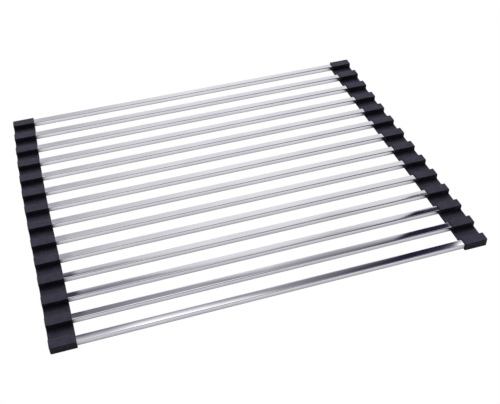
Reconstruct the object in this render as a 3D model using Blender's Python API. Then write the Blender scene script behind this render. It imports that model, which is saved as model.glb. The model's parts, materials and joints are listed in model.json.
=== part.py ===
"""Roll-up dish drying rack: steel rods held by two flexible silicone side strips.

Each rod is a thin-walled rectangular tube. Its two ends sit in blind sockets
moulded into the side strips. A strip is one row of tunnels joined by thin webs,
and the webs are its living hinges: the rack rolls up about the middle of each
web. Every strip is divided there, so that each row can turn about its hinge.
The rows hang on one middle row, and both ends of the rack curl up from it.

Units are metres, +X runs along the rods, +Y from front to back, +Z up. The
origin is on the surface that the rack lies on, below its centre.
"""

import math

import bmesh
import bpy

# Overall layout
ROD_COUNT = 14
MIDDLE_ROW = 7
ROD_PITCH = 0.0278
RACK_WIDTH = 0.450

# Steel rod
ROD_WIDTH = 0.0080
ROD_HEIGHT = 0.0060
ROD_CORNER = 0.0010
ROD_WALL = 0.0008
LEAST_BORE_CORNER = 0.0003

# Silicone strip
STRIP_WIDTH = 0.0254
SIDE_WALL = 0.0014
TOP_WALL = 0.0010
FLOOR_WALL = 0.0010
END_WALL = 0.0024
WEB_THICKNESS = 0.0028
TOP_ROUND = 0.0007
BOTTOM_ROUND = 0.0004

# Fits
SOCKET_CLEARANCE = 0.0003
SOCKET_LEAD = 0.0004
HINGE_GAP = 0.0003
CUT_OVERRUN = 0.001

# Fineness of the rounded corners
CORNER_STEPS = 4
TOP_ROUND_STEPS = 2
BOTTOM_ROUND_STEPS = 1

# Sizes that follow from the ones above
SOCKET_WIDTH = ROD_WIDTH + 2 * SOCKET_CLEARANCE
SOCKET_HEIGHT = ROD_HEIGHT + 2 * SOCKET_CLEARANCE
SOCKET_CORNER = ROD_CORNER + SOCKET_CLEARANCE
TUNNEL_WIDTH = SOCKET_WIDTH + 2 * SIDE_WALL
STRIP_HEIGHT = FLOOR_WALL + SOCKET_HEIGHT + TOP_WALL
ROD_AXIS_HEIGHT = FLOOR_WALL + SOCKET_HEIGHT / 2
STRIP_OUTER_X = RACK_WIDTH / 2
STRIP_INNER_X = STRIP_OUTER_X - STRIP_WIDTH
SOCKET_END_X = STRIP_OUTER_X - END_WALL
ROD_END_X = SOCKET_END_X - SOCKET_CLEARANCE
WEB_HALF_REACH = (ROD_PITCH - HINGE_GAP) / 2
ON_PLANE = HINGE_GAP / 10

LEFT = -1
RIGHT = 1
SIDE_NAMES = {LEFT: "left", RIGHT: "right"}


def make_material(name, color, metallic, roughness):
    """Return a plain Principled material."""
    material = bpy.data.materials.new(name)
    material.use_nodes = True
    material.diffuse_color = color
    shader = material.node_tree.nodes["Principled BSDF"]
    shader.inputs["Base Color"].default_value = color
    shader.inputs["Metallic"].default_value = metallic
    shader.inputs["Roughness"].default_value = roughness
    return material


def make_steel():
    """Polished stainless steel of the rods."""
    return make_material("polished_steel", (0.78, 0.78, 0.81, 1.0), 1.0, 0.12)


def make_silicone():
    """Matt charcoal silicone of the side strips."""
    return make_material("charcoal_silicone", (0.030, 0.028, 0.036, 1.0), 0.0, 0.62)


def rounded_rectangle(width, height, corner, z_centre):
    """Outline in the YZ plane as (y, z) points, counterclockwise seen from +X."""
    points = []
    for quarter in range(4):
        middle = math.radians(45 + 90 * quarter)
        y_corner = math.copysign(width / 2 - corner, math.cos(middle))
        z_corner = math.copysign(height / 2 - corner, math.sin(middle))
        for step in range(CORNER_STEPS + 1):
            angle = math.radians(90) * (quarter + step / CORNER_STEPS)
            y = y_corner + corner * math.cos(angle)
            z = z_centre + z_corner + corner * math.sin(angle)
            points.append((y, z))
    return points


def add_ring(bm, x, outline):
    """Add one loop of vertices at x."""
    return [bm.verts.new((x, y, z)) for y, z in outline]


def skin_rings(bm, first, second):
    """Join two loops of the same length with a band of quads."""
    count = len(first)
    for index in range(count):
        after = (index + 1) % count
        bm.faces.new((first[index], second[index], second[after], first[after]))


def mesh_from(bm, name):
    """Close a bmesh into a mesh with its faces pointing out."""
    bmesh.ops.recalc_face_normals(bm, faces=bm.faces)
    mesh = bpy.data.meshes.new(name)
    bm.to_mesh(mesh)
    bm.free()
    return mesh


def rod_mesh():
    """Rectangular tube with rounded corners, open at both ends."""
    outer = rounded_rectangle(ROD_WIDTH, ROD_HEIGHT, ROD_CORNER, 0.0)
    bore_width = ROD_WIDTH - 2 * ROD_WALL
    bore_height = ROD_HEIGHT - 2 * ROD_WALL
    bore_corner = max(ROD_CORNER - ROD_WALL, LEAST_BORE_CORNER)
    inner = rounded_rectangle(bore_width, bore_height, bore_corner, 0.0)
    bm = bmesh.new()
    outer_left = add_ring(bm, -ROD_END_X, outer)
    outer_right = add_ring(bm, ROD_END_X, outer)
    inner_right = add_ring(bm, ROD_END_X, inner)
    inner_left = add_ring(bm, -ROD_END_X, inner)
    skin_rings(bm, outer_left, outer_right)
    skin_rings(bm, outer_right, inner_right)
    skin_rings(bm, inner_right, inner_left)
    skin_rings(bm, inner_left, outer_left)
    return mesh_from(bm, "rod")


def strip_outline(front_web, back_web):
    """Side view of one link: a tunnel with half a web in front, behind, or both."""
    half_tunnel = TUNNEL_WIDTH / 2
    front_y = -WEB_HALF_REACH if front_web else -half_tunnel
    back_y = WEB_HALF_REACH if back_web else half_tunnel
    points = [(front_y, 0.0), (back_y, 0.0)]
    if back_web:
        points += [(back_y, WEB_THICKNESS), (half_tunnel, WEB_THICKNESS)]
    points += [(half_tunnel, STRIP_HEIGHT), (-half_tunnel, STRIP_HEIGHT)]
    if front_web:
        points += [(-half_tunnel, WEB_THICKNESS), (front_y, WEB_THICKNESS)]
    return points


def on_hinge_plane(vert):
    """True where a vertex lies on the cut face at the middle of a web."""
    return abs(abs(vert.co.y) - WEB_HALF_REACH) < ON_PLANE


def on_floor(vert):
    """True where a vertex lies on the flat underside."""
    return abs(vert.co.z) < ON_PLANE


def round_edges(bm, edges, radius, steps):
    """Round the given edges, inside corners too."""
    bmesh.ops.bevel(
        bm,
        geom=edges,
        offset=radius,
        offset_type="OFFSET",
        segments=steps,
        profile=0.5,
        affect="EDGES",
        clamp_overlap=True,
    )


def link_body(side, front_web, back_web):
    """Extrude the side view along X and round its edges."""
    outline = strip_outline(front_web, back_web)
    bm = bmesh.new()
    inner_ring = add_ring(bm, side * STRIP_INNER_X, outline)
    outer_ring = add_ring(bm, side * STRIP_OUTER_X, outline)
    skin_rings(bm, inner_ring, outer_ring)
    bm.faces.new(inner_ring)
    bm.faces.new(outer_ring)
    bmesh.ops.recalc_face_normals(bm, faces=bm.faces)
    upper = []
    for edge in bm.edges:
        at_hinge = all(on_hinge_plane(vert) for vert in edge.verts)
        at_floor = all(on_floor(vert) for vert in edge.verts)
        if not at_hinge and not at_floor:
            upper.append(edge)
    round_edges(bm, upper, TOP_ROUND, TOP_ROUND_STEPS)
    lower = []
    for edge in bm.edges:
        at_hinge = all(on_hinge_plane(vert) for vert in edge.verts)
        at_floor = all(on_floor(vert) for vert in edge.verts)
        if at_floor and not at_hinge:
            lower.append(edge)
    round_edges(bm, lower, BOTTOM_ROUND, BOTTOM_ROUND_STEPS)
    return mesh_from(bm, "link_body")


def socket_cutter(side):
    """Blind socket for a rod end, with a flared mouth."""
    base = (SOCKET_WIDTH, SOCKET_HEIGHT, SOCKET_CORNER)
    flare = SOCKET_LEAD + CUT_OVERRUN
    wide = (SOCKET_WIDTH + 2 * flare, SOCKET_HEIGHT + 2 * flare, SOCKET_CORNER + flare)
    stations = [
        (SOCKET_END_X, base),
        (STRIP_INNER_X + SOCKET_LEAD, base),
        (STRIP_INNER_X - CUT_OVERRUN, wide),
    ]
    bm = bmesh.new()
    rings = []
    for x, (width, height, corner) in stations:
        outline = rounded_rectangle(width, height, corner, ROD_AXIS_HEIGHT)
        rings.append(add_ring(bm, side * x, outline))
    for first, second in zip(rings, rings[1:]):
        skin_rings(bm, first, second)
    bm.faces.new(rings[0])
    bm.faces.new(rings[-1])
    return mesh_from(bm, "socket_cutter")


def place(mesh, name, parent, location):
    """Put a mesh into the scene as a named object."""
    piece = bpy.data.objects.new(name, mesh)
    bpy.context.collection.objects.link(piece)
    piece.parent = parent
    piece.location = location
    return piece


def link_mesh(side, front_web, back_web):
    """One strip link with its socket cut out."""
    body = place(link_body(side, front_web, back_web), "link_draft", None, (0.0, 0.0, 0.0))
    cutter = place(socket_cutter(side), "socket_draft", None, (0.0, 0.0, 0.0))
    cut = body.modifiers.new("socket", "BOOLEAN")
    cut.operation = "DIFFERENCE"
    cut.solver = "EXACT"
    cut.object = cutter
    bpy.context.view_layer.update()
    depsgraph = bpy.context.evaluated_depsgraph_get()
    mesh = bpy.data.meshes.new_from_object(body.evaluated_get(depsgraph))
    bpy.data.objects.remove(cutter)
    bpy.data.objects.remove(body)
    return mesh


def finish_mesh(mesh, name, material):
    """Name a mesh, give it its material and smooth its rounded edges."""
    mesh.name = name
    mesh.materials.clear()
    mesh.materials.append(material)
    mesh.shade_smooth()
    mesh.set_sharp_from_angle(angle=math.radians(50))


def hinge_to_row(row):
    """How far behind its hinge line a row lies; the middle row has no hinge."""
    if row == MIDDLE_ROW:
        return 0.0
    return math.copysign(ROD_PITCH / 2, row - MIDDLE_ROW)


def add_row_frame(row, nearer_row, nearer_frame):
    """Empty that carries one row, on the hinge line to its neighbour nearer the middle."""
    frame = bpy.data.objects.new(f"row_frame_{row:02d}", None)
    bpy.context.collection.objects.link(frame)
    frame.empty_display_size = ROD_PITCH / 2
    if nearer_frame is None:
        row_y = ROD_PITCH * (row - (ROD_COUNT + 1) / 2)
        frame.location = (0.0, row_y, WEB_THICKNESS)
    else:
        step = hinge_to_row(nearer_row) + hinge_to_row(row)
        frame.parent = nearer_frame
        frame.location = (0.0, step, 0.0)
    return frame


def add_row_frames():
    """Chains of hinge frames from the middle row to the back and to the front."""
    frames = {MIDDLE_ROW: add_row_frame(MIDDLE_ROW, None, None)}
    for row in range(MIDDLE_ROW + 1, ROD_COUNT + 1):
        frames[row] = add_row_frame(row, row - 1, frames[row - 1])
    for row in range(MIDDLE_ROW - 1, 0, -1):
        frames[row] = add_row_frame(row, row + 1, frames[row + 1])
    return frames


def make_link_meshes(side, material):
    """Meshes for the front, middle and back links of one strip."""
    kinds = {"front": (False, True), "middle": (True, True), "back": (True, False)}
    meshes = {}
    for kind, (front_web, back_web) in kinds.items():
        mesh = link_mesh(side, front_web, back_web)
        finish_mesh(mesh, f"{SIDE_NAMES[side]}_{kind}_link", material)
        meshes[kind] = mesh
    return meshes


def link_kind(row):
    """Which of the three link shapes a row needs."""
    if row == 1:
        return "front"
    if row == ROD_COUNT:
        return "back"
    return "middle"


def build_rack():
    """Build every row, each hinged to its neighbour nearer the middle."""
    steel = make_steel()
    silicone = make_silicone()
    tube = rod_mesh()
    finish_mesh(tube, "rod", steel)
    links = {side: make_link_meshes(side, silicone) for side in (LEFT, RIGHT)}
    for row, frame in sorted(add_row_frames().items()):
        to_row = (0.0, hinge_to_row(row), -WEB_THICKNESS)
        to_rod = (0.0, hinge_to_row(row), ROD_AXIS_HEIGHT - WEB_THICKNESS)
        place(tube, f"rod_{row:02d}", frame, to_rod)
        for side in (LEFT, RIGHT):
            mesh = links[side][link_kind(row)]
            place(mesh, f"{SIDE_NAMES[side]}_link_{row:02d}", frame, to_row)


def clear_scene():
    """Remove the objects that a new file starts with."""
    for leftover in list(bpy.data.objects):
        bpy.data.objects.remove(leftover)


clear_scene()
build_rack()
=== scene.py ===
"""Roll-up dish drying rack: polished steel rods in two moulded silicone side strips.

Each rod is one swept tube with slightly bulged flats. A strip is a row of moulded
tunnels, one for each rod, and thin webs between them.
The stage is a pale floor in soft light, seen from the front left and above.
"""

import json
import math

import bmesh
import bpy
from bpy.props import FloatProperty, FloatVectorProperty, IntProperty, PointerProperty
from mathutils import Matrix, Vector
from mathutils.geometry import tessellate_polygon


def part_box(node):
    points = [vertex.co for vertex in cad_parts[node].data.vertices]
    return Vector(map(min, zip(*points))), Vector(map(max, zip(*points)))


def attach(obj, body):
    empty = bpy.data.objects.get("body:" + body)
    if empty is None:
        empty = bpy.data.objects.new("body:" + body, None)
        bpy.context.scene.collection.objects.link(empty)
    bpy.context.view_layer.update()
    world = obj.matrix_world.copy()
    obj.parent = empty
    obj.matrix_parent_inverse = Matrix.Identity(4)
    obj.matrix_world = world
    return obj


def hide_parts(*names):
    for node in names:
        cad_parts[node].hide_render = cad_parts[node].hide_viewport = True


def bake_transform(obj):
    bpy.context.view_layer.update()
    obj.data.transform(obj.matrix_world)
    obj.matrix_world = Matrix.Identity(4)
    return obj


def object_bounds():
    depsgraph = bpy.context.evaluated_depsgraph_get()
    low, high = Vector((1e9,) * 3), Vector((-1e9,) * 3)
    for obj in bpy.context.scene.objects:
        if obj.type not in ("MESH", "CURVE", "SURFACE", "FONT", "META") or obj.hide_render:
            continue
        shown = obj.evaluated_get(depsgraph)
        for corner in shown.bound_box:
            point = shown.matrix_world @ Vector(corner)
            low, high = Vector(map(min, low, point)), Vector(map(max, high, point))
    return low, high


bl_info = {
    "name": "Roll-up Drying Rack",
    "version": (1, 0, 0),
    "blender": (4, 5, 0),
    "location": "3D View > Sidebar > Rack",
    "description": "Steel rods, moulded side strips and a pale studio for a roll-up drying rack",
    "category": "Object",
}

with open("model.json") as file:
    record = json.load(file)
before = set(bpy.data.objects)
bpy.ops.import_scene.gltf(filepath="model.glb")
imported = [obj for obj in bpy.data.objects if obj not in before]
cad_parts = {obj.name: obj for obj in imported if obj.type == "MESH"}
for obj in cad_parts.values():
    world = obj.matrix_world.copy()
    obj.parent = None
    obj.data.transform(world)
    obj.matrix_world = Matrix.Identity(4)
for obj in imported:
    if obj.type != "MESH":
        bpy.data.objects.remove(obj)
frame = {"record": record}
CAD_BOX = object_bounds()

# Places and sizes that the frame gives
BODIES = sorted(frame["record"]["behaviour"]["bodies"])
ROWS = len(BODIES)
FIRST_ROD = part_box("rod_01")
LAST_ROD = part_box(f"rod_{ROWS:02d}")
FIRST_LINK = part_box("right_link_01")
FIRST_Y = (FIRST_ROD[0].y + FIRST_ROD[1].y) / 2
LAST_Y = (LAST_ROD[0].y + LAST_ROD[1].y) / 2
PITCH = (LAST_Y - FIRST_Y) / (ROWS - 1)
ROD_LENGTH = FIRST_ROD[1].x - FIRST_ROD[0].x
ROD_WIDTH = FIRST_ROD[1].y - FIRST_ROD[0].y
ROD_HEIGHT = FIRST_ROD[1].z - FIRST_ROD[0].z
ROD_AXIS_Z = (FIRST_ROD[0].z + FIRST_ROD[1].z) / 2
STRIP_INNER_X = FIRST_LINK[0].x
STRIP_OUTER_X = FIRST_LINK[1].x
STRIP_HEIGHT = FIRST_LINK[1].z
HALF_TUNNEL = FIRST_Y - FIRST_LINK[0].y

# The two strips, and on which side of the middle each lies
SIDES = {"left": -1, "right": 1}

# Sizes of the solids that their boxes don't show
WEB_THICKNESS = 0.0028
SOCKET_CLEARANCE = 0.0003
SOCKET_CORNER = 0.0013

# Details of the meshes
SHARP_ANGLE = math.radians(50)
FLAT_CUTS = 11.0
SOCKET_STEPS = 6
BORE_CORNER_SHARE = 0.3
TWIST_WAVES_PER_METRE = 7.0
TWIST_SEED_STEP = 3.7
ROD_MERGE = 0.000001
TUNNEL_MERGE = 0.0000005
EDGE_BAND = 0.00012
END_RING_SHARES = (1.0, 0.8, 0.65, 0.5)

# Turn of each rod in its sockets, in degrees, front row first
ROD_TURNS = (0.0, 0.0, 0.0, 0.15, -0.1, 0.25, -0.2, 0.1, -0.25, 0.2, 0.0, -0.15, 0.1, -0.1)

# Part of a noise pattern's range that is spread over the full effect
CLOUD_SPAN = (0.35, 0.65)
GRAIN_SPAN = (0.3, 0.7)

# Steel: patterns as scale and detail, tones and roughness as shares of what is set
STEEL_CLOUDS = ((14.0, 60.0, 60.0), 2.0)
STEEL_LINES = ((18.0, 2600.0, 2600.0), 3.0)
STEEL_DULL = (0.93, 0.93, 0.95)
STEEL_BRIGHT = (1.0, 1.0, 1.0)
STEEL_ROUGH_SHARES = (0.7, 1.5)
STEEL_BUMP = {"Strength": 0.03, "Distance": 0.0001}

# Silicone: the same, but roughness as steps from what is set
SILICONE_CLOUDS = (160.0, 4.0)
SILICONE_GRAIN = (3200.0, 2.0)
SILICONE_DEEP = (0.86, 0.86, 0.86)
SILICONE_DUSTY = (1.14, 1.14, 1.12)
SILICONE_ROUGH_STEPS = (-0.07, 0.08)
SILICONE_BUMP = {"Strength": 0.25, "Distance": 0.00006}
SILICONE_SPECULAR = 0.12

# Floor cards, and the white dome around them
FLOOR_HALF_SIZE = 6.0
FLOOR_Z = -0.0002
# Painted shade on the mirrored floor: ambient occlusion samples, and the power by which it darkens the
# floor's glow near the rack
PAINTED_SHADE_SAMPLES = 12
PAINTED_SHADE_POWER = 2.5
DOME_RADIUS = 5.5
DOME_GLOW = 1.05
DOME_SEGMENTS = 48
DOME_RINGS = 24

# Area lights: name, place, size and the setting that holds the power
LIGHTS = (
    ("back_light", (0.2, 4.8, 3.6), 4.8, "key_power"),
    ("top_light", (0.0, 0.4, 2.5), 1.0, "top_power"),
    ("front_fill", (-0.5, -1.2, 0.7), 1.0, "fill_power"),
)
LIGHT_COLOR = (1.0, 0.98, 1.0)

# Camera
SENSOR_WIDTH = 36.0
CLIP_START = 0.01
CLIP_END = 50.0

# Levels of the room by how far a direction points sideways, from -1 to 1
PANEL_ACROSS = ((-0.03, 0.78), (0.0, 0.73), (0.04, 0.87), (0.10, 1.01), (0.17, 1.11),
                (0.25, 1.12), (0.34, 1.07), (0.50, 1.03))
GAP_ACROSS = ((0.0, 0.27), (0.05, 0.42), (0.13, 0.50), (0.22, 0.22), (0.27, 0.10), (0.32, 0.05),
              (0.38, 0.01), (0.4385, 0.01), (0.445, 0.85))
LAMP_ACROSS_LOW = ((-0.02, 0.60), (0.01, 0.64), (0.05, 1.1), (0.17, 1.0), (0.23, 0.25),
                   (0.32, 0.03), (0.39, 0.0), (0.425, 0.03), (0.436, 0.20), (0.444, 0.90))
LAMP_ACROSS_HIGH = ((-0.7, 0.5), (-0.3, 0.9), (0.0, 1.25), (0.12, 1.0), (0.20, 0.95), (0.30, 0.60),
                    (0.37, 0.25), (0.42, 0.75), (0.50, 0.80), (0.80, 0.5))

# Height angle of the panel's upper edge and its softness, in degrees, by the same measure
PANEL_EDGE = ((0.0, 46.0), (0.05, 45.7), (0.13, 47.0), (0.22, 48.3), (0.31, 47.5),
              (0.375, 47.9), (0.39, 46.9), (0.405, 45.55), (0.435, 45.55))
PANEL_SOFTNESS = ((0.0, 0.6), (0.13, 0.7), (0.22, 1.6), (0.31, 3.3), (0.375, 1.4), (0.39, 0.6),
                  (0.405, 0.12))

# Levels of the room by height angle, in degrees from the back over the top to the front
PANEL_HEIGHT = ((0.0, 1.55), (15.0, 1.20), (28.0, 1.03), (36.0, 1.0))
SMUDGE_HEIGHT = ((36.0, 0.0), (38.5, 0.17), (43.8, 0.23), (44.7, 0.45), (45.6, 0.90),
                 (46.8, 0.88), (47.6, 0.45), (49.5, 0.25), (52.0, 0.0))
LAMP_HEIGHT = ((48.9, 0.0), (50.5, 1.40), (62.0, 1.20), (76.0, 1.03), (92.0, 0.80),
               (108.0, 0.52), (125.0, 0.33), (145.0, 0.24), (165.0, 0.28), (180.0, 0.50))

# Where parts of the room fade in or out, by the same two measures
GAP_FADE_HEIGHT = (55.0, 65.0)
LAMP_SPLIT_HEIGHT = (54.0, 64.0)
SMUDGE_FADE_ACROSS = (-0.018, -0.010)
WALL_FADE_ACROSS = (0.48, 0.62)
WALL_FADE_HEIGHT = (100.0, 125.0)
WALL_LEVEL = 0.85

# Colours of the room: unlit, the dark end from DUSK_SHARE of light on, and fully lit
ROOM_INK = (0.014, 0.017, 0.045, 1.0)
ROOM_DUSK = (0.0, 0.004, 0.060, 1.0)
ROOM_WHITE = (1.07, 1.05, 1.05, 1.0)
DUSK_SHARE = 0.45


class RodSettings(bpy.types.PropertyGroup):
    """Sizes and finish of the steel rods."""

    corner: FloatProperty(
        name="Corner rounding", description="Radius of the rod's two upper long corners",
        default=0.0008, min=0.0002, unit="LENGTH", precision=5)
    foot_corner: FloatProperty(
        name="Foot rounding", description="Radius of the rod's two lower long corners",
        default=0.0011, min=0.0002, unit="LENGTH", precision=5)
    wall: FloatProperty(
        name="Wall", description="Thickness of the tube's wall",
        default=0.0008, min=0.0003, unit="LENGTH", precision=5)
    bulge: FloatProperty(
        name="Bulge", description="How far the middle of each flat stands proud",
        default=0.00001, min=0.0, unit="LENGTH", precision=6)
    twist: FloatProperty(
        name="Twist", description="Slow twist along a rod, as drawn tube has",
        default=math.radians(0.2), subtype="ANGLE")
    corner_steps: IntProperty(
        name="Corner steps", description="Facets in each rounded corner", default=8, min=2)
    stations: IntProperty(
        name="Stations", description="Rings of points along a rod", default=26, min=2)
    color: FloatVectorProperty(
        name="Steel", description="Tint of the polished steel",
        default=(0.62, 0.61, 0.65), size=3, subtype="COLOR", min=0.0, max=1.0)
    roughness: FloatProperty(
        name="Roughness", description="Mean roughness of the polish",
        default=0.03, min=0.0, max=1.0, subtype="FACTOR")


class StripSettings(bpy.types.PropertyGroup):
    """Sizes and finish of the moulded side strips."""

    outer_round: FloatProperty(
        name="Outer rounding", description="Rounding of the edges at the strip's outer side",
        default=0.0006, min=0.0001, unit="LENGTH", precision=5)
    inner_round: FloatProperty(
        name="Inner rounding", description="Rounding of the edges at the side of the rods",
        default=0.0003, min=0.0001, unit="LENGTH", precision=5)
    mouth_round: FloatProperty(
        name="Mouth rounding", description="Lead-in around each socket's mouth",
        default=0.0002, min=0.00005, unit="LENGTH", precision=5)
    end_corner: FloatProperty(
        name="End corner", description="Plan radius of the two outer corners at each end of a strip",
        default=0.0018, min=0.0002, unit="LENGTH", precision=5)
    end_corner_inner: FloatProperty(
        name="Inner end corner", description="The same radius at the side of the rods",
        default=0.0007, min=0.0002, unit="LENGTH", precision=5)
    socket_spare: FloatProperty(
        name="Socket spare", description="Free depth of each socket behind its rod's end",
        default=0.0008, min=0.0, unit="LENGTH", precision=5)
    top_corner: FloatProperty(
        name="Top corner", description="Radius of a tunnel's two long upper corners",
        default=0.0006, min=0.0002, unit="LENGTH", precision=5)
    root_fillet: FloatProperty(
        name="Root fillet", description="Fillet where a web meets a tunnel",
        default=0.0006, min=0.0002, unit="LENGTH", precision=5)
    stub: FloatProperty(
        name="Stub", description="Length of web that is moulded in one with its tunnel",
        default=0.0012, min=0.001, unit="LENGTH", precision=5)
    round_steps: IntProperty(
        name="Rounding steps", description="Facets in each rounded edge", default=5, min=2)
    bend_steps: IntProperty(
        name="Bend steps", description="Segments along a web, which bends", default=20, min=4)
    left_bend: FloatVectorProperty(
        name="Left bend", description="Left strip drawn outwards: evenly, as an arch, as a wave",
        default=(0.0001, 0.0023, -0.0009), size=3, unit="LENGTH", precision=5)
    right_bend: FloatVectorProperty(
        name="Right bend", description="Right strip drawn outwards: evenly, as an arch, as a wave",
        default=(0.0001, 0.0, 0.0007), size=3, unit="LENGTH", precision=5)
    color: FloatVectorProperty(
        name="Silicone", description="Colour of the charcoal silicone",
        default=(0.035, 0.033, 0.050), size=3, subtype="COLOR", min=0.0, max=1.0)
    roughness: FloatProperty(
        name="Roughness", description="Mean roughness of the matt surface",
        default=0.62, min=0.0, max=1.0, subtype="FACTOR")


class StageSettings(bpy.types.PropertyGroup):
    """Floor, lights and camera of the studio."""

    floor_color: FloatVectorProperty(
        name="Floor", description="Colour of the pale floor",
        default=(1.0, 1.0, 1.0), size=3, subtype="COLOR", min=0.0, max=1.0)
    mirrored_glow: FloatProperty(
        name="Mirrored floor", description="Brightness of the open floor that the steel mirrors",
        default=1.52, min=0.0)
    # Painted shade: how far ambient occlusion from the rack dims the glow of the floor that the steel
    # mirrors, in place of a cast shadow
    painted_shade_reach: FloatProperty(
        name="Shade reach", description="How far the rack shades the floor that the steel mirrors",
        default=0.013, min=0.001, unit="LENGTH", precision=4)
    key_power: FloatProperty(
        name="Key light", description="Power of the soft light above and behind the rack",
        default=560.0, min=0.0, unit="POWER")
    top_power: FloatProperty(
        name="Top light", description="Power of the weaker light overhead",
        default=9.0, min=0.0, unit="POWER")
    fill_power: FloatProperty(
        name="Fill light", description="Power of the weak light from the camera's side",
        default=0.6, min=0.0, unit="POWER")
    lens: FloatProperty(
        name="Lens", description="Focal length of the camera", default=56.69, min=1.0, unit="CAMERA")
    camera_place: FloatVectorProperty(
        name="Camera place", description="Where the camera stands",
        default=(-0.17794, -0.67004, 0.58053), size=3, subtype="TRANSLATION", unit="LENGTH")
    camera_turn: FloatVectorProperty(
        name="Camera turn", description="Which way the camera looks",
        default=(math.radians(48.445), math.radians(0.858), math.radians(-17.6437)),
        size=3, subtype="EULER", unit="ROTATION")


def row_y(row):
    """Place of a row's rod, counted from 1 at the front."""
    return FIRST_Y + PITCH * (row - 1)


def number(settings, name):
    """A setting in double precision, rounded past what a user would type."""
    return round(getattr(settings, name), 9)


# Small helpers for node trees

def add_node(tree, kind, values=None, **choices):
    """Add a node, make its choices, then fill its inputs with numbers or links."""
    node = tree.nodes.new(kind)
    for choice, value in choices.items():
        setattr(node, choice, value)
    for key, value in (values or {}).items():
        socket = node.inputs[key]
        if isinstance(value, bpy.types.NodeSocket):
            tree.links.new(value, socket)
        else:
            socket.default_value = value
    return node


def calc(tree, operation, *terms):
    """One Math node; each term is a number or a socket."""
    node = add_node(tree, "ShaderNodeMath", dict(enumerate(terms)), operation=operation)
    return node.outputs[0]


def ease(tree, value, start, end, low, high):
    """Smooth ramp of a value from low at start to high at end."""
    values = {0: value, 1: start, 2: end, 3: low, 4: high}
    node = add_node(tree, "ShaderNodeMapRange", values, interpolation_type="SMOOTHSTEP")
    return node.outputs[0]


def between(tree, share, first, second):
    """Level between two others."""
    return calc(tree, "MULTIPLY_ADD", calc(tree, "SUBTRACT", second, first), share, first)


def blend_colors(tree, share, first, second):
    """Mix two colours; each is a tuple or a socket."""
    node = add_node(tree, "ShaderNodeMix", data_type="RGBA")
    pairs = {"Factor_Float": share, "A_Color": first, "B_Color": second}
    for socket in node.inputs:
        if socket.identifier in pairs:
            value = pairs[socket.identifier]
            if isinstance(value, bpy.types.NodeSocket):
                tree.links.new(value, socket)
            else:
                socket.default_value = value
    return next(socket for socket in node.outputs if socket.identifier == "Result_Color")


# Small helpers for pieces

def new_object(name, data):
    """Put a mesh, a light or a camera into the scene at the origin."""
    piece = bpy.data.objects.new(name, data)
    bpy.context.collection.objects.link(piece)
    return piece


def mesh_from(bm, name):
    """Turn an edited mesh into a named one and free it."""
    mesh = bpy.data.meshes.new(name)
    bm.to_mesh(mesh)
    bm.free()
    return mesh


def hide_from(piece, *rays):
    """Hide a piece from the named kinds of rays."""
    for kind in rays:
        setattr(piece, f"visible_{kind}", False)


def new_tree(name, inputs):
    """Geometry Nodes tree with named inputs and one geometry output."""
    tree = bpy.data.node_groups.new(name, "GeometryNodeTree")
    interface = tree.interface
    interface.new_socket(name="Geometry", in_out="OUTPUT", socket_type="NodeSocketGeometry")
    for label, kind in inputs.items():
        interface.new_socket(name=label, in_out="INPUT", socket_type=f"NodeSocket{kind}")
    return tree, add_node(tree, "NodeGroupInput").outputs


def close_tree(tree, geometry, finish):
    """End a tree in Realize Instances and Set Material."""
    real = add_node(tree, "GeometryNodeRealizeInstances", {"Geometry": geometry})
    values = {"Geometry": real.outputs[0], "Material": finish}
    dressed = add_node(tree, "GeometryNodeSetMaterial", values)
    add_node(tree, "NodeGroupOutput", {"Geometry": dressed.outputs[0]})


def grow(name, tree, values):
    """Make a plain mesh piece from a tree with the given inputs."""
    piece = new_object(name, bpy.data.meshes.new(name))
    modifier = piece.modifiers.new("grow", "NODES")
    modifier.node_group = tree
    for item in tree.interface.items_tree:
        if item.in_out == "INPUT":
            modifier[item.identifier] = values[item.name]
    finish_mesh(piece)
    return piece


def apply_modifiers(piece):
    """Bake a piece's modifiers into its mesh."""
    bpy.context.view_layer.update()
    depsgraph = bpy.context.evaluated_depsgraph_get()
    mesh = bpy.data.meshes.new_from_object(piece.evaluated_get(depsgraph))
    piece.modifiers.clear()
    piece.data = mesh
    mesh.name = piece.name
    return mesh


def finish_mesh(piece):
    """Apply a piece's modifiers, smooth it and keep its flats flat."""
    mesh = apply_modifiers(piece)
    mesh.shade_smooth()
    mesh.set_sharp_from_angle(angle=SHARP_ANGLE)
    even = piece.modifiers.new("even", "WEIGHTED_NORMAL")
    even.keep_sharp = True
    apply_modifiers(piece)


# Small helpers for shapes grown from curves

def point_parts(tree):
    """X, Y and Z of each point."""
    place = add_node(tree, "GeometryNodeInputPosition").outputs[0]
    return add_node(tree, "ShaderNodeSeparateXYZ", {0: place}).outputs


def shift_points(tree, geometry, parts):
    """Move each point by an offset, whose X, Y and Z stand under 0, 1 and 2 in parts."""
    offset = add_node(tree, "ShaderNodeCombineXYZ", parts).outputs[0]
    values = {"Geometry": geometry, "Offset": offset}
    return add_node(tree, "GeometryNodeSetPosition", values).outputs[0]


def rounded_box(tree, width, height, minus_radius, plus_radius, steps):
    """Rectangle about the origin with one corner radius on the -X side and one on the +X side."""
    values = {"Width": width, "Height": height}
    box = add_node(tree, "GeometryNodeCurvePrimitiveQuadrilateral", values, mode="RECTANGLE")
    on_plus = calc(tree, "GREATER_THAN", point_parts(tree)[0], 0.0)
    radius = between(tree, on_plus, minus_radius, plus_radius)
    values = {"Curve": box.outputs[0], "Count": steps, "Radius": radius}
    return add_node(tree, "GeometryNodeFilletCurve", values, mode="POLY").outputs[0]


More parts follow.
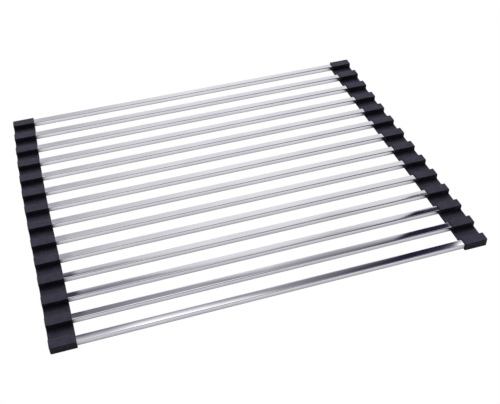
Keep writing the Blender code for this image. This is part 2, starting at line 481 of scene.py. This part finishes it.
def straight_path(tree, length, points):
    """Straight curve along Z about the origin, with its points evenly spaced."""
    half = calc(tree, "MULTIPLY", length, 0.5)
    start = add_node(tree, "ShaderNodeCombineXYZ", {2: calc(tree, "MULTIPLY", half, -1.0)})
    end = add_node(tree, "ShaderNodeCombineXYZ", {2: half})
    values = {"Start": start.outputs[0], "End": end.outputs[0]}
    line = add_node(tree, "GeometryNodeCurvePrimitiveLine", values).outputs[0]
    values = {"Curve": line, "Count": points}
    return add_node(tree, "GeometryNodeResampleCurve", values).outputs[0]


def turn_and_place(tree, geometry, turn, place):
    """Turn geometry about the origin, then move it to its place."""
    turned = add_node(tree, "GeometryNodeTransform", {"Geometry": geometry, "Rotation": turn})
    values = {"Geometry": turned.outputs[0], "Translation": place}
    return add_node(tree, "GeometryNodeTransform", values).outputs[0]


# Finishes

def tone(settings, shares):
    """The set colour times a share for each part."""
    return (*(part * share for part, share in zip(settings.color, shares)), 1.0)


def start_finish(name):
    """New material, with its tree and the object's coordinates."""
    material = bpy.data.materials.new(name)
    material.use_nodes = True
    tree = material.node_tree
    return material, tree, add_node(tree, "ShaderNodeTexCoord").outputs["Object"]


def dress(tree, cloud, tones, grain, rough_range, bump):
    """Let a slow pattern mix two tones, and a fine one drive roughness and bump."""
    shader = tree.nodes["Principled BSDF"]
    tint = blend_colors(tree, ease(tree, cloud, *CLOUD_SPAN, 0.0, 1.0), *tones)
    tree.links.new(tint, shader.inputs["Base Color"])
    rough = ease(tree, grain, *GRAIN_SPAN, *rough_range)
    tree.links.new(rough, shader.inputs["Roughness"])
    relief = add_node(tree, "ShaderNodeBump", {"Height": grain, **bump})
    tree.links.new(relief.outputs[0], shader.inputs["Normal"])
    return shader


def make_steel(settings):
    """Polished stainless steel with faint lines along the rod."""
    material, tree, place = start_finish("polished_steel")
    patterns = []
    for scale, detail in (STEEL_CLOUDS, STEEL_LINES):
        stretched = add_node(tree, "ShaderNodeMapping", {"Vector": place, "Scale": scale}).outputs[0]
        values = {"Vector": stretched, "Scale": 1.0, "Detail": detail}
        patterns.append(add_node(tree, "ShaderNodeTexNoise", values).outputs[0])
    clouds, lines = patterns
    tones = (tone(settings, STEEL_DULL), tone(settings, STEEL_BRIGHT))
    rough_range = [settings.roughness * share for share in STEEL_ROUGH_SHARES]
    shader = dress(tree, clouds, tones, lines, rough_range, STEEL_BUMP)
    shader.inputs["Metallic"].default_value = 1.0
    return material


def make_silicone(settings):
    """Matt charcoal silicone with the fine grain of its mould."""
    material, tree, place = start_finish("charcoal_silicone")
    patterns = []
    for scale, detail in (SILICONE_CLOUDS, SILICONE_GRAIN):
        values = {"Vector": place, "Scale": scale, "Detail": detail}
        patterns.append(add_node(tree, "ShaderNodeTexNoise", values).outputs[0])
    clouds, grain = patterns
    tones = (tone(settings, SILICONE_DEEP), tone(settings, SILICONE_DUSTY))
    rough_range = [settings.roughness + step for step in SILICONE_ROUGH_STEPS]
    shader = dress(tree, clouds, tones, grain, rough_range, SILICONE_BUMP)
    shader.inputs["Specular IOR Level"].default_value = SILICONE_SPECULAR
    return material


# Steel rods

def rod_tree():
    """Tube swept along X: a rounded rectangle with bulged flats and a slow twist."""
    tree, size = new_tree("Steel rod", {
        "Length": "Float", "Width": "Float", "Height": "Float", "Corner": "Float",
        "Foot corner": "Float", "Wall": "Float", "Bulge": "Float", "Twist": "Float", "Turn": "Float",
        "Seed": "Float", "Corner steps": "Int", "Stations": "Int",
        "Place": "Vector", "Finish": "Material"})
    corners = (size["Corner"], size["Foot corner"])
    outer = rod_profile(tree, size, size["Width"], size["Height"], corners, size["Bulge"])
    bore_width = calc(tree, "MULTIPLY_ADD", size["Wall"], -2.0, size["Width"])
    bore_height = calc(tree, "MULTIPLY_ADD", size["Wall"], -2.0, size["Height"])
    bore_corners = [calc(tree, "MULTIPLY", corner, BORE_CORNER_SHARE) for corner in corners]
    inner = rod_profile(tree, size, bore_width, bore_height, bore_corners, 0.0)

    line = straight_path(tree, size["Length"], size["Stations"])
    wave_at = calc(tree, "MULTIPLY_ADD", point_parts(tree)[2], TWIST_WAVES_PER_METRE, size["Seed"])
    wave = add_node(tree, "ShaderNodeTexNoise", {"W": wave_at, "Scale": 1.0, "Detail": 0.0},
                    noise_dimensions="1D")
    swing = calc(tree, "MULTIPLY_ADD", wave.outputs[0], 2.0, -1.0)
    tilt = calc(tree, "MULTIPLY_ADD", swing, size["Twist"], size["Turn"])
    path = add_node(tree, "GeometryNodeSetCurveTilt", {"Curve": line, "Tilt": tilt}).outputs[0]

    shells = []
    for profile in (outer, inner):
        values = {"Curve": path, "Profile Curve": profile}
        shells.append(add_node(tree, "GeometryNodeCurveToMesh", values).outputs[0])
    bore = add_node(tree, "GeometryNodeFlipFaces", {"Mesh": shells[1]})
    both = add_node(tree, "GeometryNodeJoinGeometry")
    for part in (shells[0], bore.outputs[0]):
        tree.links.new(part, both.inputs[0])
    values = {"Geometry": both.outputs[0], "Distance": ROD_MERGE}
    merged = add_node(tree, "GeometryNodeMergeByDistance", values).outputs[0]
    placed = turn_and_place(tree, merged, (0.0, math.radians(90), 0.0), size["Place"])
    close_tree(tree, placed, size["Finish"])
    return tree


def rod_profile(tree, size, width, height, corners, bulge):
    """Rounded rectangle with gently bulged flats: downwards along X and its width along Y."""
    steps = size["Corner steps"]
    rounded = rounded_box(tree, height, width, *corners, steps)
    index = add_node(tree, "GeometryNodeInputIndex").outputs[0]
    in_group = calc(tree, "MODULO", index, calc(tree, "ADD", steps, 1.0))
    starts_flat = calc(tree, "COMPARE", in_group, steps, 0.5)
    cuts = calc(tree, "MULTIPLY", starts_flat, FLAT_CUTS)
    split = add_node(tree, "GeometryNodeSubdivideCurve", {"Curve": rounded, "Cuts": cuts})
    spot = point_parts(tree)
    swell = []
    for axis, extent, other in ((0, height, 1), (1, width, 0)):
        reach = calc(tree, "MULTIPLY_ADD", corners[0], -2.0, extent)
        share = calc(tree, "DIVIDE", calc(tree, "MULTIPLY", spot[axis], 2.0), reach)
        fall = calc(tree, "SUBTRACT", 1.0, calc(tree, "POWER", share, 2.0))
        rise = calc(tree, "MULTIPLY", calc(tree, "MAXIMUM", fall, 0.0), bulge)
        swell.append(calc(tree, "MULTIPLY", rise, calc(tree, "SIGN", spot[other])))
    return shift_points(tree, split.outputs[0], {0: swell[1], 1: swell[0]})


def close_rod_ends(mesh):
    """Join the tube's outer and inner shells at both ends with a ring of faces."""
    bm = bmesh.new()
    bm.from_mesh(mesh)
    rims = [edge for edge in bm.edges if edge.is_boundary]
    for side in (-1, 1):
        loops = [edge for edge in rims if edge.verts[0].co.x * side > 0]
        bmesh.ops.bridge_loops(bm, edges=loops)
    bmesh.ops.recalc_face_normals(bm, faces=bm.faces)
    bm.to_mesh(mesh)
    bm.free()


class RACK_OT_rods(bpy.types.Operator):
    """Build the steel rods, one for each row"""

    bl_idname = "rack.rods"
    bl_label = "Steel rods"

    def execute(self, context):
        settings = context.scene.rack_rods
        steel = make_steel(settings)
        tree = rod_tree()
        for row, body in enumerate(BODIES, start=1):
            piece = grow(f"steel_rod_{row:02d}", tree, {
                "Length": ROD_LENGTH, "Width": ROD_WIDTH, "Height": ROD_HEIGHT,
                "Corner": number(settings, "corner"),
                "Foot corner": number(settings, "foot_corner"), "Wall": number(settings, "wall"),
                "Bulge": number(settings, "bulge"), "Twist": number(settings, "twist"),
                "Turn": math.radians(ROD_TURNS[row - 1]), "Seed": TWIST_SEED_STEP * row,
                "Corner steps": settings.corner_steps, "Stations": settings.stations,
                "Place": (0.0, row_y(row), ROD_AXIS_Z), "Finish": steel})
            close_rod_ends(piece.data)
            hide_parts(f"rod_{row:02d}")
            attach(piece, body)
        return {"FINISHED"}


# Bend of the strips

def bend_strip(tree, geometry, size):
    """Draw a strip's points sideways: evenly, in one arch and in one wave along the rack."""
    ends = {0: point_parts(tree)[1], 1: CAD_BOX[0][1], 2: CAD_BOX[1][1], 3: 0.0, 4: math.pi}
    along = add_node(tree, "ShaderNodeMapRange", ends).outputs[0]
    arch = calc(tree, "SINE", along)
    wave = calc(tree, "SINE", calc(tree, "MULTIPLY", along, 2.0))
    shift = calc(tree, "MULTIPLY_ADD", arch, size["Arch"], size["Even"])
    shift = calc(tree, "MULTIPLY_ADD", wave, size["Wave"], shift)
    return shift_points(tree, geometry, {0: shift})


def bend_values(settings, side_name):
    """The bend's three named sizes for one strip, positive outwards."""
    side = SIDES[side_name]
    drawn = getattr(settings, f"{side_name}_bend")
    return {name: side * round(size, 9) for name, size in zip(("Even", "Arch", "Wave"), drawn)}


# Moulded tunnels

def quarter_turn(steps):
    """Angles from 0 to 90 degrees in even steps."""
    return [math.radians(90) * step / steps for step in range(steps + 1)]


def arc(centre, radius, start, end, steps, inward):
    """Points on an arc as (y, z, inset y, inset z); inward is -1 on an outside corner."""
    points = []
    for step in range(steps + 1):
        angle = math.radians(start + (end - start) * step / steps)
        away_y = math.cos(angle)
        away_z = math.sin(angle)
        y = centre[0] + radius * away_y
        z = centre[1] + radius * away_z
        points.append((y, z, inward * away_y, inward * away_z))
    return points


def half_outline(settings, has_web):
    """Side view of a tunnel's back half, from the floor up to the middle of its top."""
    steps = settings.round_steps
    corner = number(settings, "top_corner")
    fillet = number(settings, "root_fillet")
    points = []
    if has_web:
        stub_y = HALF_TUNNEL + fillet + number(settings, "stub")
        root = (HALF_TUNNEL + fillet, WEB_THICKNESS + fillet)
        points += [(HALF_TUNNEL, 0.0, 0.0, 1.0), (stub_y, 0.0, 0.0, 1.0)]
        points += [(stub_y, WEB_THICKNESS, 0.0, -1.0)]
        points += arc(root, fillet, 270, 180, steps, 1)
    else:
        toe = (HALF_TUNNEL - corner, corner)
        points += arc(toe, corner, 270, 360, steps, -1)
    shoulder = (HALF_TUNNEL - corner, STRIP_HEIGHT - corner)
    points += arc(shoulder, corner, 0, 90, steps, -1)
    return points


def tunnel_outline(settings, front_web, back_web):
    """Closed side view of one tunnel with its web stubs, counterclockwise.

    The last number of a point is 1 or -1 on a half that ends the strip, and 0 elsewhere.
    """
    back = [(*point, 0 if back_web else 1) for point in half_outline(settings, back_web)]
    front = half_outline(settings, front_web)
    free = 0 if front_web else -1
    mirrored = [(-y, z, -inset_y, inset_z, free) for y, z, inset_y, inset_z in reversed(front)]
    return back + mirrored


def socket_outline(grow_by):
    """Rounded rectangle of the socket, counterclockwise, widened by grow_by."""
    half_y = ROD_WIDTH / 2 + SOCKET_CLEARANCE
    half_z = ROD_HEIGHT / 2 + SOCKET_CLEARANCE
    points = []
    for quarter, (sign_y, sign_z) in enumerate(((1, 1), (-1, 1), (-1, -1), (1, -1))):
        centre = (sign_y * (half_y - SOCKET_CORNER), sign_z * (half_z - SOCKET_CORNER))
        start = 90 * quarter
        for y, z, away_y, away_z in arc(centre, SOCKET_CORNER, start, start + 90, SOCKET_STEPS, 1):
            points.append((y + grow_by * away_y, ROD_AXIS_Z + z + grow_by * away_z))
    return points


def add_ring(bm, x, outline):
    """Add one loop of vertices at x."""
    return [bm.verts.new((x, y, z)) for y, z in outline]


def skin(bm, first, second):
    """Join two loops of the same length with quads."""
    for index in range(len(first)):
        after = (index + 1) % len(first)
        bm.faces.new((first[index], second[index], second[after], first[after]))


def add_tube(bm, sections):
    """Skin a row of sections, cap the last one and return the loop of the first."""
    loops = [add_ring(bm, x, outline) for x, outline in sections]
    for first, second in zip(loops, loops[1:]):
        skin(bm, first, second)
    bm.faces.new(loops[-1])
    return loops[0]


def end_cut(settings, x):
    """How far the end of a strip is cut back at x by its rounded plan corners."""
    outer = number(settings, "end_corner")
    inner = number(settings, "end_corner_inner")
    past_outer = max(x - (STRIP_OUTER_X - outer), 0.0)
    past_inner = max(STRIP_INNER_X + inner - x, 0.0)
    cut = outer - math.sqrt(max(outer ** 2 - past_outer ** 2, 0.0))
    return cut + inner - math.sqrt(max(inner ** 2 - past_inner ** 2, 0.0))


def rounding_stations(settings):
    """Rings of a strip section from inside to outside, as pairs of x and inset."""
    angles = quarter_turn(settings.round_steps)
    inner = number(settings, "inner_round")
    outer = number(settings, "outer_round")
    stations = [(STRIP_INNER_X, inner + EDGE_BAND)]
    for angle in reversed(angles):
        x = STRIP_INNER_X + inner * (1 - math.sin(angle))
        stations.append((x, inner * (1 - math.cos(angle))))
    for reach in (inner + EDGE_BAND, number(settings, "end_corner_inner")):
        stations.append((STRIP_INNER_X + reach, 0.0))
    end = number(settings, "end_corner")
    for share in END_RING_SHARES:
        stations.append((STRIP_OUTER_X - end * share, 0.0))
    stations.append((STRIP_OUTER_X - outer - EDGE_BAND, 0.0))
    for angle in angles:
        x = STRIP_OUTER_X - outer * (1 - math.sin(angle))
        stations.append((x, outer * (1 - math.cos(angle))))
    stations.append((STRIP_OUTER_X, outer + EDGE_BAND))
    return stations


def fill_with_hole(bm, outside, hole):
    """Fill the flat face between an outside loop and a hole with triangles."""
    loops = [[vert.co.copy() for vert in outside], [vert.co.copy() for vert in hole]]
    verts = outside + hole
    for corners in tessellate_polygon(loops):
        bm.faces.new([verts[corner] for corner in corners])


def tunnel_mesh(settings, side, front_web, back_web):
    """Moulded tunnel with its socket, rounded edges and web stubs."""
    outline = tunnel_outline(settings, front_web, back_web)
    bm = bmesh.new()
    sections = []
    for x, inset in rounding_stations(settings):
        cut = end_cut(settings, x)
        section = [(y + inset * dy - cut * free, z + inset * dz) for y, z, dy, dz, free in outline]
        sections.append((side * x, section))
    outside = add_tube(bm, sections)
    mouth = number(settings, "mouth_round")
    bores = []
    for angle in quarter_turn(settings.round_steps):
        x = STRIP_INNER_X + mouth * (1 - math.cos(angle))
        bores.append((x, mouth * (1 - math.sin(angle))))
    bores.append((ROD_LENGTH / 2 + SOCKET_CLEARANCE + number(settings, "socket_spare"), 0.0))
    hole = add_tube(bm, [(side * x, socket_outline(wider)) for x, wider in bores])
    fill_with_hole(bm, outside, hole)
    bmesh.ops.remove_doubles(bm, verts=bm.verts, dist=TUNNEL_MERGE)
    bmesh.ops.recalc_face_normals(bm, faces=bm.faces)
    return mesh_from(bm, "moulded_tunnel")


def tunnel_tree():
    """Row of one moulded shape along the strip, of which a piece keeps one place."""
    tree, size = new_tree("Tunnel row", {
        "Shape": "Object", "Rows": "Int", "Pitch": "Float", "Start": "Vector", "Row": "Int",
        "Even": "Float", "Arch": "Float", "Wave": "Float", "Finish": "Material"})
    step = add_node(tree, "ShaderNodeCombineXYZ", {1: size["Pitch"]})
    line = add_node(tree, "GeometryNodeMeshLine",
                    {"Count": size["Rows"], "Start Location": size["Start"], "Offset": step.outputs[0]},
                    mode="OFFSET", count_mode="TOTAL")
    index = add_node(tree, "GeometryNodeInputIndex").outputs[0]
    chosen = calc(tree, "COMPARE", index, calc(tree, "SUBTRACT", size["Row"], 1.0), 0.5)
    shape = add_node(tree, "GeometryNodeObjectInfo", {"Object": size["Shape"]},
                     transform_space="ORIGINAL")
    values = {"Points": line.outputs[0], "Selection": chosen, "Instance": shape.outputs["Geometry"]}
    copies = add_node(tree, "GeometryNodeInstanceOnPoints", values)
    plain = add_node(tree, "GeometryNodeRealizeInstances", {"Geometry": copies.outputs[0]})
    close_tree(tree, bend_strip(tree, plain.outputs[0], size), size["Finish"])
    return tree


def shared_silicone():
    """The silicone finish, made once for tunnels and webs."""
    found = bpy.data.materials.get("charcoal_silicone")
    return found or make_silicone(bpy.context.scene.rack_strips)


class RACK_OT_tunnels(bpy.types.Operator):
    """Build the moulded tunnels that hold the rod ends"""

    bl_idname = "rack.tunnels"
    bl_label = "Moulded tunnels"

    def execute(self, context):
        settings = context.scene.rack_strips
        silicone = shared_silicone()
        tree = tunnel_tree()
        for side_name, side in SIDES.items():
            for row, body in enumerate(BODIES, start=1):
                shape = new_object("tunnel_shape", tunnel_mesh(settings, side, row > 1, row < ROWS))
                piece = grow(f"{side_name}_tunnel_{row:02d}", tree, {
                    "Shape": shape, "Rows": ROWS, "Pitch": PITCH, "Start": (0.0, FIRST_Y, 0.0),
                    "Row": row, "Finish": silicone, **bend_values(settings, side_name)})
                bpy.data.objects.remove(shape)
                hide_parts(f"{side_name}_link_{row:02d}")
                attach(piece, body)
        return {"FINISHED"}


# Flexible webs

def web_tree():
    """Thin rounded band between two tunnels, swept along Y in many short steps."""
    tree, size = new_tree("Flexible web", {
        "Width": "Float", "Thickness": "Float", "Length": "Float", "Plus X rounding": "Float",
        "Minus X rounding": "Float", "Rounding steps": "Int", "Bend steps": "Int",
        "Even": "Float", "Arch": "Float", "Wave": "Float",
        "Place": "Vector", "Finish": "Material"})
    profile = rounded_box(tree, size["Width"], size["Thickness"], size["Minus X rounding"],
                          size["Plus X rounding"], size["Rounding steps"])
    points = calc(tree, "ADD", size["Bend steps"], 1.0)
    path = straight_path(tree, size["Length"], points)
    values = {"Curve": path, "Profile Curve": profile, "Fill Caps": True}
    sweep = add_node(tree, "GeometryNodeCurveToMesh", values).outputs[0]
    placed = turn_and_place(tree, sweep, (math.radians(90), 0.0, 0.0), size["Place"])
    close_tree(tree, bend_strip(tree, placed, size), size["Finish"])
    return tree


class RACK_OT_webs(bpy.types.Operator):
    """Build the thin webs between the tunnels"""

    bl_idname = "rack.webs"
    bl_label = "Flexible webs"

    def execute(self, context):
        settings = context.scene.rack_strips
        silicone = shared_silicone()
        tree = web_tree()
        inner = number(settings, "inner_round")
        outer = number(settings, "outer_round")
        reach = HALF_TUNNEL + number(settings, "root_fillet") + number(settings, "stub")
        middle_x = (STRIP_INNER_X + STRIP_OUTER_X) / 2
        for side_name, side in SIDES.items():
            for row in range(1, ROWS):
                front_y = row_y(row) + reach
                back_y = row_y(row + 1) - reach
                place = (side * middle_x, (front_y + back_y) / 2, WEB_THICKNESS / 2)
                piece = grow(f"{side_name}_web_{row:02d}", tree, {
                    "Width": STRIP_OUTER_X - STRIP_INNER_X, "Thickness": WEB_THICKNESS,
                    "Length": back_y - front_y,
                    "Plus X rounding": outer if side > 0 else inner,
                    "Minus X rounding": inner if side > 0 else outer,
                    "Rounding steps": settings.round_steps, "Bend steps": settings.bend_steps,
                    "Place": place, "Finish": silicone, **bend_values(settings, side_name)})
                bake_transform(piece)
        return {"FINISHED"}


# Stage

def glowing_material(name, values):
    """Material that only glows, with its emission node."""
    material = bpy.data.materials.new(name)
    material.use_nodes = True
    tree = material.node_tree
    tree.nodes.clear()
    glow = add_node(tree, "ShaderNodeEmission", values)
    add_node(tree, "ShaderNodeOutputMaterial", {"Surface": glow.outputs[0]})
    return material, glow


def add_card(name, material):
    """Flat square at the height of the floor."""
    bm = bmesh.new()
    half = FLOOR_HALF_SIZE
    corners = [(-half, -half), (half, -half), (half, half), (-half, half)]
    bm.faces.new([bm.verts.new((x, y, FLOOR_Z)) for x, y in corners])
    mesh = mesh_from(bm, name)
    card = new_object(name, mesh)
    mesh.materials.append(material)
    return card


def make_floor(settings):
    """Pale glowing floor without shadows for the camera, and a glowing floor that the steel mirrors,
    with painted shade: ambient occlusion from the rack dims its glow.
    """
    color = {"Color": (*settings.floor_color, 1.0)}
    plain, _ = glowing_material("floor", color)
    floor_with_painted_shade, glow = glowing_material("mirrored_floor", color)
    tree = floor_with_painted_shade.node_tree
    # Painted shade: ambient occlusion from the rack dims this floor's glow under and beside the rods,
    # in place of cast shadows, and the steel mirrors it
    shade = add_node(tree, "ShaderNodeAmbientOcclusion", {"Distance": settings.painted_shade_reach},
                     samples=PAINTED_SHADE_SAMPLES)
    power = calc(tree, "POWER", shade.outputs["AO"], PAINTED_SHADE_POWER)
    light = calc(tree, "MULTIPLY", power, settings.mirrored_glow)
    tree.links.new(light, glow.inputs["Strength"])
    for name, material, unseen_by in (("floor", plain, "glossy"), ("mirrored_floor", floor_with_painted_shade, "camera")):
        card = add_card(name, material)
        hide_from(card, unseen_by, "diffuse", "shadow")


def make_backdrop():
    """White dome far around the rack, for the camera alone."""
    material, _ = glowing_material("white_backdrop", {"Strength": DOME_GLOW})
    bm = bmesh.new()
    bmesh.ops.create_uvsphere(bm, u_segments=DOME_SEGMENTS, v_segments=DOME_RINGS, radius=DOME_RADIUS)
    mesh = mesh_from(bm, "backdrop")
    dome = new_object("backdrop", mesh)
    mesh.materials.append(material)
    hide_from(dome, "diffuse", "glossy", "transmission", "shadow")


def add_area_light(name, place, size, power):
    """Soft square light aimed at the rack."""
    light = bpy.data.lights.new(name, "AREA")
    light.shape = "SQUARE"
    light.size = size
    light.energy = power
    light.color = LIGHT_COLOR
    lamp = new_object(name, light)
    lamp.location = place
    lamp.rotation_euler = (-Vector(place)).to_track_quat("-Z", "Y").to_euler()
    hide_from(lamp, "glossy", "camera")


def graded(tree, value, levels):
    """Table of levels along a value, joined by straight lines."""
    start = levels[0][0]
    end = levels[-1][0]
    top = max(level for place, level in levels)
    share = add_node(tree, "ShaderNodeMapRange", {0: value, 1: start, 2: end}).outputs[0]
    ramp = add_node(tree, "ShaderNodeValToRGB", {0: share})
    stops = ramp.color_ramp.elements
    while len(stops) < len(levels):
        stops.new(0.5)
    for stop, (place, level) in zip(stops, levels):
        grey = level / top
        stop.position = (place - start) / (end - start)
        stop.color = (grey, grey, grey, 1.0)
    return calc(tree, "MULTIPLY", ramp.outputs[0], top)


def make_studio():
    """Soft room that the steel mirrors: a pale panel behind, a lamp above, a dark side in front."""
    world = bpy.data.worlds.new("studio")
    bpy.context.scene.world = world
    world.use_nodes = True
    world.cycles_visibility.diffuse = False
    tree = world.node_tree
    background = tree.nodes["Background"]
    way = add_node(tree, "ShaderNodeTexCoord").outputs["Generated"]
    x, y, z = add_node(tree, "ShaderNodeSeparateXYZ", {0: way}).outputs
    height = calc(tree, "DEGREES", calc(tree, "ARCTAN2", z, y))

    panel = calc(tree, "MULTIPLY", graded(tree, x, PANEL_ACROSS), graded(tree, height, PANEL_HEIGHT))
    softness = graded(tree, x, PANEL_SOFTNESS)
    over = calc(tree, "SUBTRACT", height, graded(tree, x, PANEL_EDGE))
    above = ease(tree, calc(tree, "DIVIDE", over, softness), -1.0, 1.0, 0.0, 1.0)
    fade = ease(tree, height, *GAP_FADE_HEIGHT, 1.0, 0.0)
    gap = calc(tree, "MULTIPLY", graded(tree, x, GAP_ACROSS), fade)
    level = between(tree, above, panel, gap)
    beside = ease(tree, x, *SMUDGE_FADE_ACROSS, 1.0, 0.0)
    smudge = calc(tree, "MULTIPLY", beside, graded(tree, height, SMUDGE_HEIGHT))
    level = calc(tree, "MULTIPLY", level, calc(tree, "SUBTRACT", 1.0, smudge))

    low = graded(tree, x, LAMP_ACROSS_LOW)
    high = graded(tree, x, LAMP_ACROSS_HIGH)
    across = between(tree, ease(tree, height, *LAMP_SPLIT_HEIGHT, 0.0, 1.0), low, high)
    lamp = calc(tree, "MULTIPLY", graded(tree, height, LAMP_HEIGHT), across)
    level = calc(tree, "ADD", level, lamp)
    aside = ease(tree, calc(tree, "ABSOLUTE", x), *WALL_FADE_ACROSS, 0.0, 1.0)
    wall = calc(tree, "MULTIPLY", aside, ease(tree, height, *WALL_FADE_HEIGHT, 0.0, 1.0))
    level = between(tree, wall, level, WALL_LEVEL)

    share = calc(tree, "MINIMUM", level, 1.0)
    dark = blend_colors(tree, ease(tree, share, 0.0, DUSK_SHARE, 0.0, 1.0), ROOM_INK, ROOM_DUSK)
    shade = blend_colors(tree, share, dark, ROOM_WHITE)
    tree.links.new(shade, background.inputs["Color"])
    tree.links.new(calc(tree, "MAXIMUM", level, 1.0), background.inputs["Strength"])


def make_camera(settings):
    """Camera at the viewing angle of the reference picture."""
    data = bpy.data.cameras.new("camera")
    data.lens = settings.lens
    data.sensor_width = SENSOR_WIDTH
    data.clip_start = CLIP_START
    data.clip_end = CLIP_END
    camera = new_object("camera", data)
    camera.location = settings.camera_place
    camera.rotation_euler = settings.camera_turn
    bpy.context.scene.camera = camera


class RACK_OT_stage(bpy.types.Operator):
    """Set up the pale floor, the soft light and the camera"""

    bl_idname = "rack.stage"
    bl_label = "Stage"

    def execute(self, context):
        settings = context.scene.rack_stage
        make_floor(settings)
        make_backdrop()
        make_studio()
        for name, place, size, power in LIGHTS:
            add_area_light(name, place, size, getattr(settings, power))
        make_camera(settings)
        context.scene.view_settings.view_transform = "Standard"
        return {"FINISHED"}


class RACK_PT_panel(bpy.types.Panel):
    """The rack's settings and build steps"""

    bl_idname = "RACK_PT_panel"
    bl_label = "Drying rack"
    bl_space_type = "VIEW_3D"
    bl_region_type = "UI"
    bl_category = "Rack"

    def draw(self, context):
        layout = self.layout
        groups = {
            "rack_rods": ("rack.rods",),
            "rack_strips": ("rack.tunnels", "rack.webs"),
            "rack_stage": ("rack.stage",),
        }
        for group, steps in groups.items():
            box = layout.box()
            settings = getattr(context.scene, group)
            for name in settings.__annotations__:
                box.prop(settings, name)
            for step in steps:
                box.operator(step)


CLASSES = (
    RodSettings, StripSettings, StageSettings,
    RACK_OT_rods, RACK_OT_tunnels, RACK_OT_webs, RACK_OT_stage, RACK_PT_panel,
)


def register():
    """Register the classes and attach the settings to the scene."""
    for cls in CLASSES:
        bpy.utils.register_class(cls)
    bpy.types.Scene.rack_rods = PointerProperty(type=RodSettings)
    bpy.types.Scene.rack_strips = PointerProperty(type=StripSettings)
    bpy.types.Scene.rack_stage = PointerProperty(type=StageSettings)


def unregister():
    """Detach the settings and unregister the classes."""
    del bpy.types.Scene.rack_stage
    del bpy.types.Scene.rack_strips
    del bpy.types.Scene.rack_rods
    for cls in reversed(CLASSES):
        bpy.utils.unregister_class(cls)


def main():
    """Build the rack and its stage."""
    register()
    bpy.ops.rack.rods()
    bpy.ops.rack.tunnels()
    bpy.ops.rack.webs()
    bpy.ops.rack.stage()


if __name__ == "__main__":
    main()
